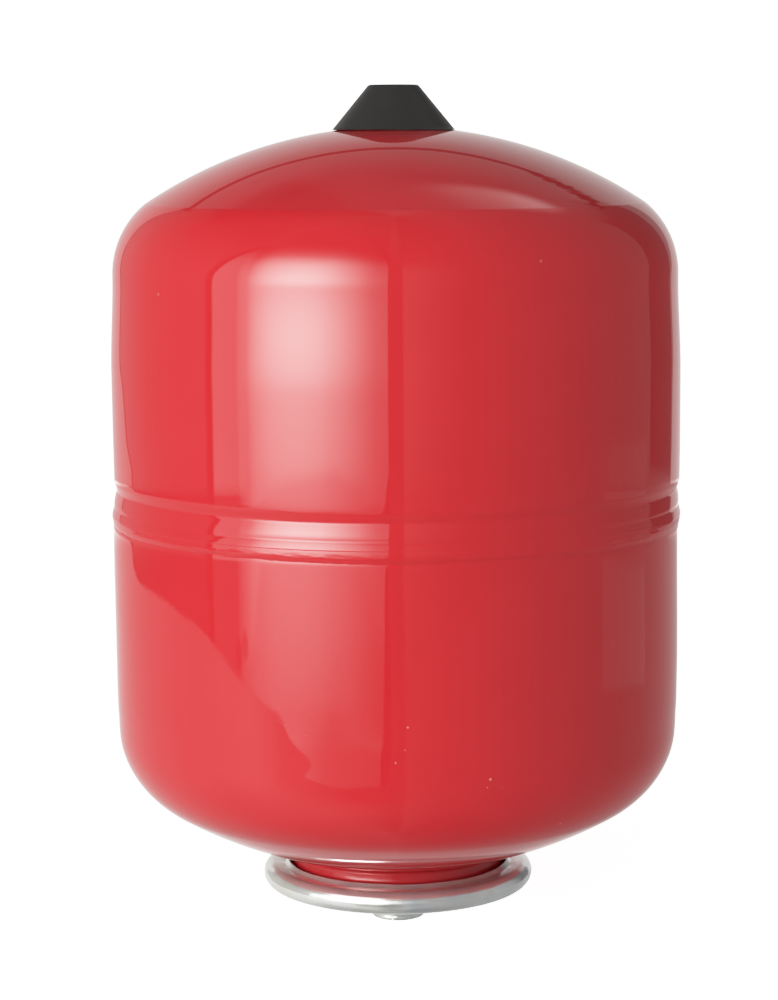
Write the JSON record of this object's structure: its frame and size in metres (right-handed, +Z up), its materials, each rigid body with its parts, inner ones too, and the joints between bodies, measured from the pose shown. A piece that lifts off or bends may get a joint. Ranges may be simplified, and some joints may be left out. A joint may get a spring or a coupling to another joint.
{
  "type": "expansion vessel",
  "caption": "Upright steel expansion vessel with dished ends, girth weld, clinched flange with threaded nipple below, gas valve under a conical cover on top.",
  "frame": {"origin": "centre of the connection nipple's end face, on the vessel's axis", "axes": "+Z up along the vessel's axis, from the pipe nipple towards the charging valve"},
  "size_m": [0.272, 0.272, 0.4018],
  "materials": {
    "upper_shell": "gloss red stove enamel",
    "lower_shell": "gloss red stove enamel",
    "girth_weld": "gloss red stove enamel over a rough weld",
    "membrane": "matt black moulded rubber",
    "counter_flange": "zinc plated, clear passivated",
    "connection_nipple": "zinc plated, clear passivated",
    "nipple_weld": "zinc plated weld",
    "membrane_guard": "plain pressed steel",
    "valve_stem": "turned",
    "valve_seal": "matt",
    "valve_washer": "zinc plated",
    "valve_nut": "turned",
    "core_barrel": "turned",
    "core_collar_seal": "satin",
    "core_pin": "turned",
    "core_cup_seal": "matt",
    "core_spring": "drawn wire",
    "dust_cap": "moulded",
    "dust_cap_seal": "matt",
    "valve_cover": "fine matt moulded"
  },
  "bodies": {
    "vessel": {"upper_shell": "upper_shell", "lower_shell": "lower_shell", "girth_weld": "girth_weld", "counter_flange": "counter_flange", "connection_nipple": "connection_nipple", "nipple_weld": "nipple_weld", "membrane_guard": "membrane_guard", "valve_stem": "valve_stem", "valve_seal": "valve_seal", "valve_washer": "valve_washer", "valve_nut": "valve_nut", "core_barrel": "core_barrel", "core_collar_seal": "core_collar_seal", "core_spring": "core_spring"},
    "membrane": {"membrane": "membrane"},
    "cover": {"valve_cover": "valve_cover"},
    "cap_seal": {"dust_cap_seal": "dust_cap_seal"},
    "dust_cap": {"dust_cap": "dust_cap"},
    "core_pin": {"core_pin": "core_pin", "core_cup_seal": "core_cup_seal"}
  },
  "joints": [
    {"name": "membrane_fill", "type": "slide", "parent": "vessel", "child": "membrane", "axis": [0, 0, 1], "range_m": [-0.1, 0.04], "stiffness_N_per_m": 400, "springref_m": 0.0092, "deforming": ["membrane"]},
    {"name": "cover_pull", "type": "slide", "parent": "vessel", "child": "cover", "axis": [0, 0, 1], "range_m": [0, 0.06]},
    {"name": "cap_rise", "type": "slide", "parent": "vessel", "child": "cap_seal", "axis": [0, 0, 1], "range_m": [0, 0.00396]},
    {"name": "cap_unscrew", "type": "hinge", "parent": "cap_seal", "child": "dust_cap", "pos_m": [0, 0, 0.389], "axis": [0, 0, 1], "range_deg": [0, 1800]},
    {"name": "core_press", "type": "slide", "parent": "vessel", "child": "core_pin", "axis": [0, 0, -1], "range_m": [0, 0.0015], "stiffness_N_per_m": 15, "springref_m": -0.002, "deforming": ["core_spring"]}
  ],
  "couplings": [
    {"joint": "cap_unscrew", "follows": "cap_rise", "rad_per_m": 7915.8}
  ]
}
